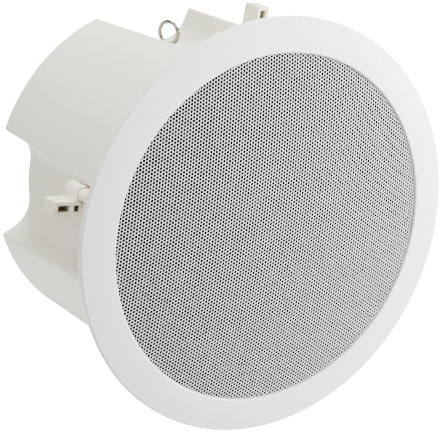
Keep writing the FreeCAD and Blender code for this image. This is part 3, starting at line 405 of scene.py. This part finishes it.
def on_sheet(x, y, depth):
    """Place of a point of the flat blank on the finished sheet."""
    radius, height = section(math.hypot(x, y), depth)
    turn = math.atan2(y, x) + math.radians(LATTICE_ANGLE)
    return radius * math.cos(turn) * MM, radius * math.sin(turn) * MM, height * MM


def lattice_site(i, j):
    return HOLE_PITCH * (i + j / 2), HOLE_PITCH * j * math.sqrt(3) / 2


def in_hole(x, y):
    """Whether a point of the blank lies in or close to a hole."""
    row = math.floor(y / (HOLE_PITCH * math.sqrt(3) / 2))
    near = []
    for j in (row, row + 1):
        column = math.floor(x / HOLE_PITCH - j / 2)
        near += [lattice_site(i, j) for i in (column, column + 1)]
    holes = [site for site in near if math.hypot(*site) < FIELD_REACH]
    return any(math.hypot(x - sx, y - sy) < HOLE_CLEAR for sx, sy in holes)


def hole_corners():
    """Corners of the blank's holes, each with its hole's place in the lattice."""
    reach = int(SHEET_REACH / HOLE_PITCH * LATTICE_SKEW) + LATTICE_SPARE
    for i in range(-reach, reach + 1):
        for j in range(-reach, reach + 1):
            x, y = lattice_site(i, j)
            if math.hypot(x, y) < FIELD_REACH:
                for k in range(HOLE_SIDES):
                    angle = 2 * math.pi * (k + 0.5) / HOLE_SIDES
                    corner = x + HOLE_RADIUS * math.cos(angle), y + HOLE_RADIUS * math.sin(angle)
                    yield corner, (i, j)


def rim_points():
    """Points on rings round the bend, clear of the holes, and on the hem's end."""
    for ring in range(BEND_RINGS + 1):
        at_end = ring == BEND_RINGS
        flat = SHEET_REACH if at_end else DOME_EDGE + BEND_LENGTH * ring / (BEND_RINGS - 1)
        for k in range(RIM_STEPS):
            angle = 2 * math.pi * k / RIM_STEPS
            x, y = flat * math.cos(angle), flat * math.sin(angle)
            if at_end or not in_hole(x, y):
                yield x, y


def blank():
    """Flat triangles of the perforated blank, as corner points and triples of their numbers."""
    points, owner = [], []
    for corner, hole in hole_corners():
        points.append(corner)
        owner.append(hole)
    for point in rim_points():
        points.append(point)
        owner.append(None)
    flat = [Vector(point) for point in points]
    found = delaunay_2d_cdt(flat, [], [], CONVEX_HULL, SAME_POINT)
    source = [sources[0] for sources in found[3]]
    triangles = []
    for corners in found[2]:
        a, b, c = (source[corner] for corner in corners)
        if owner[a] is None or not owner[a] == owner[b] == owner[c]:
            triangles.append((a, b, c))
    return points, triangles


def thickened(points, triangles):
    """Closed sheet over some of the blank's triangles: face, back and every edge's wall."""
    bm = bmesh.new()
    used = sorted({corner for triangle in triangles for corner in triangle})
    face = {n: bm.verts.new(on_sheet(*points[n], 0)) for n in used}
    back = {n: bm.verts.new(on_sheet(*points[n], GRILLE_SHEET)) for n in used}
    sides = {(t[k], t[(k + 1) % 3]): None for t in triangles for k in range(3)}
    for a, b, c in triangles:
        bm.faces.new((face[c], face[b], face[a]))
        bm.faces.new((back[a], back[b], back[c]))
    for a, b in sides:
        if (b, a) not in sides:
            bm.faces.new((face[a], face[b], back[b], back[a]))
    return bm


def grille():
    """The perforated sheet in two halves, the first of which stands for the solid."""
    points, triangles = blank()
    halves = {"grille_half_a": [], "grille_half_b": []}
    for triangle in triangles:
        side = sum(points[corner][1] for corner in triangle) >= 0
        halves["grille_half_a" if side else "grille_half_b"].append(triangle)
    for name, share in halves.items():
        mesh = mesh_from(thickened(points, share), name, GRILLE_SHARP)
        piece = add_piece(name, mesh, "speaker", "grille_white")
        if name == "grille_half_a":
            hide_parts("grille")


def cloth_side(depth, last):
    """Section of one side of the cloth, from the dome to the end of the hem."""
    run = last - CLOTH_START
    side = [section(CLOTH_START + run * i / CLOTH_STEPS, depth) for i in range(CLOTH_STEPS + 1)]
    return side + [(side[-1][0], CLOTH_END)]


def cloth_edge():
    """Ring of dust cloth that lines the edge and hem of the sheet, behind its outer holes."""
    depth = GRILLE_SHEET + CLOTH_GAP
    front = cloth_side(depth, DOME_EDGE)
    back = cloth_side(depth + CLOTH_SHEET, DOME_EDGE - CLOTH_SHEET)
    outline = front + back[::-1]
    bm = bmesh.new()
    rings = []
    for i in range(RIM_STEPS):
        angle = 2 * math.pi * i / RIM_STEPS
        x, y = math.cos(angle), math.sin(angle)
        rings.append([bm.verts.new((r * x * MM, r * y * MM, z * MM)) for r, z in outline])
    for here, there in zip(rings, rings[1:] + rings[:1]):
        for j in range(len(outline)):
            k = (j + 1) % len(outline)
            bm.faces.new((here[j], there[j], there[k], here[k]))
    add_piece("cloth_edge", mesh_from(bm, "cloth_edge"), "speaker", "cloth_black")


def softened(node, body, slot, width):
    """A moulding with its CAD solid's form and slightly rounded edges."""
    bm = bmesh.new()
    bm.from_mesh(frame["nodes"][node].data)
    bmesh.ops.remove_doubles(bm, verts=bm.verts, dist=SOFT_WELD * MM)
    bmesh.ops.dissolve_limit(bm, angle_limit=math.radians(FLAT_ANGLE), verts=bm.verts,
                             edges=bm.edges)
    crease = math.radians(CREASE_ANGLE)
    edges = [e for e in bm.edges if len(e.link_faces) == 2 and e.calc_face_angle() > crease]
    bmesh.ops.bevel(bm, geom=edges, offset=width * MM, segments=SOFT_SEGMENTS, profile=0.5,
                    affect="EDGES", clamp_overlap=True)
    bmesh.ops.dissolve_degenerate(bm, dist=SOFT_CLEAN * MM, edges=bm.edges)
    mesh = mesh_from(bm, node + "_moulding", MOULDING_SHARP)
    add_piece(node + "_moulding", mesh, body, slot, node)


def threaded_shank(bm, x, y):
    """Closed shank with a helical thread that fades out at its tip."""
    start = SCREW_SEAT - SCREW_SUNK
    length = SCREW_TIP - SCREW_SEAT + SCREW_SUNK
    last = int(length / SCREW_PITCH * THREAD_STEPS) - THREAD_STEPS
    roots, crests = [], []
    for i in range(last + 1):
        angle = 2 * math.pi * i / THREAD_STEPS
        across, along = math.cos(angle), math.sin(angle)
        height = start + SCREW_PITCH * i / THREAD_STEPS
        fade = min(1, (last - i) / THREAD_STEPS)
        crest = SCREW_ROOT + (SCREW_CREST - SCREW_ROOT) * fade
        for radius, rise, row in ((SCREW_ROOT, 0, roots), (crest, SCREW_PITCH / 2, crests)):
            place = (x + radius * across * MM, y + radius * along * MM, (height + rise) * MM)
            row.append(bm.verts.new(place))
    for i in range(last):
        bm.faces.new((roots[i], roots[i + 1], crests[i + 1], crests[i]))
        above = i + THREAD_STEPS
        if above < last:
            bm.faces.new((crests[i], crests[i + 1], roots[above + 1], roots[above]))
    ends = ((start, roots[:THREAD_STEPS + 1] + crests[:1]),
            (SCREW_TIP, crests[-THREAD_STEPS - 1:] + roots[-1:]))
    for height, loop in ends:
        middle = bm.verts.new((x, y, height * MM))
        for here, there in zip(loop, loop[1:] + loop[:1]):
            bm.faces.new((here, there, middle))


def clamp_screws():
    """Each clamp's screw: the solid's own head on a threaded shank."""
    for k in range(1, CLAMPS + 1):
        node = "clamp_screw_%d" % k
        low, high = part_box(node)
        bm = bmesh.new()
        bm.from_mesh(frame["nodes"][node].data)
        shank = [v for v in bm.verts if v.co.z > (SCREW_SEAT + SCREW_PITCH) * MM]
        bmesh.ops.delete(bm, geom=shank, context="VERTS")
        bmesh.ops.remove_doubles(bm, verts=bm.verts, dist=SCREW_WELD * MM)
        bmesh.ops.holes_fill(bm, edges=[e for e in bm.edges if e.is_boundary])
        threaded_shank(bm, (low[0] + high[0]) / 2, (low[1] + high[1]) / 2)
        name = "threaded_screw_%d" % k
        mesh = mesh_from(bm, name, SCREW_SHARP)
        add_piece(name, mesh, "screw_%d" % k, "screw_steel", node)


def lamp(name, aim, ray, power):
    """Large round lamp that faces the aim and stays out of the picture."""
    data = bpy.data.lights.new(name, "AREA")
    data.shape = "DISK"
    data.size = LAMP_SIZE
    data.energy = power
    obj = bpy.data.objects.new(name, data)
    bpy.context.scene.collection.objects.link(obj)
    obj.location = aim + ray * LAMP_DISTANCE
    obj.rotation_euler = (-ray).to_track_quat("-Z", "Y").to_euler()
    obj.visible_camera = False


def camera_axes():
    """Right, up and towards the viewer, in the part's frame."""
    angles = CAMERA_AZIMUTH, CAMERA_ELEVATION, CAMERA_ROLL
    az, el, roll = (math.radians(angle) for angle in angles)
    towards = Vector((math.cos(el) * math.cos(az), math.cos(el) * math.sin(az), math.sin(el)))
    level = (-towards).cross(Vector((0, 0, 1))).normalized()
    upright = level.cross(-towards)
    right = level * math.cos(roll) + upright * math.sin(roll)
    up = upright * math.cos(roll) - level * math.sin(roll)
    return right, up, towards


def place_camera(aim, right, up, towards):
    data = bpy.data.cameras.new("camera")
    data.sensor_fit = "HORIZONTAL"
    data.sensor_width = SENSOR_WIDTH
    data.lens = CAMERA_LENS
    camera = bpy.data.objects.new("camera", data)
    bpy.context.scene.collection.objects.link(camera)
    turn = Matrix((right, up, towards)).transposed().to_4x4()
    camera.matrix_world = Matrix.Translation(aim + towards * CAMERA_DISTANCE) @ turn
    bpy.context.scene.camera = camera


def surround_light():
    """Faint light from all round, with a bright white sweep behind the speaker."""
    world = bpy.data.worlds.new("studio")
    world.use_nodes = True
    nodes = world.node_tree.nodes
    links = world.node_tree.links
    soft = nodes["Background"]
    soft.inputs["Color"].default_value = WHITE
    soft.inputs["Strength"].default_value = AMBIENT
    sweep = nodes.new("ShaderNodeBackground")
    sweep.inputs["Color"].default_value = WHITE
    sweep.inputs["Strength"].default_value = SWEEP
    mix = nodes.new("ShaderNodeMixShader")
    links.new(nodes.new("ShaderNodeLightPath").outputs["Is Camera Ray"], mix.inputs["Fac"])
    links.new(soft.outputs["Background"], mix.inputs[1])
    links.new(sweep.outputs["Background"], mix.inputs[2])
    links.new(mix.outputs["Shader"], nodes["World Output"].inputs["Surface"])
    bpy.context.scene.world = world


def lay_floor():
    bm = bmesh.new()
    bmesh.ops.create_circle(bm, cap_ends=True, segments=FLOOR_SIDES, radius=FLOOR_RADIUS,
                            matrix=Matrix.Translation((0, 0, FLOOR_HEIGHT)))
    mesh = bpy.data.meshes.new("floor")
    bm.to_mesh(mesh)
    bm.free()
    floor = bpy.data.objects.new("floor", mesh)
    bpy.context.scene.collection.objects.link(floor)
    s = Shader("floor", srgb(240, 240, 238), roughness=0.8)
    s.tint(s.noise(size=300.0), srgb(236, 236, 234), srgb(243, 243, 241))
    mesh.materials.append(s.material)


def studio():
    right, up, towards = camera_axes()
    aim = Vector(CAMERA_AIM)
    place_camera(aim, right, up, towards)
    surround_light()
    for name, (way, power) in LAMPS.items():
        ray = (right * way[0] + up * way[1] + towards * way[2]).normalized()
        lamp(name, aim, ray, power)
    lay_floor()


for part in frame["record"]["subparts"]:
    dress(frame["nodes"][part["node"]], part["material_slot"])
grille()
cloth_edge()
clamp_screws()
for number in range(1, CLAMPS + 1):
    softened("clamp_arm_%d" % number, "arm_%d" % number, "clamp_ivory", ARM_SOFTNESS)
    softened("clamp_carriage_%d" % number, "carriage_%d" % number, "clamp_ivory",
             CARRIAGE_SOFTNESS)
studio()
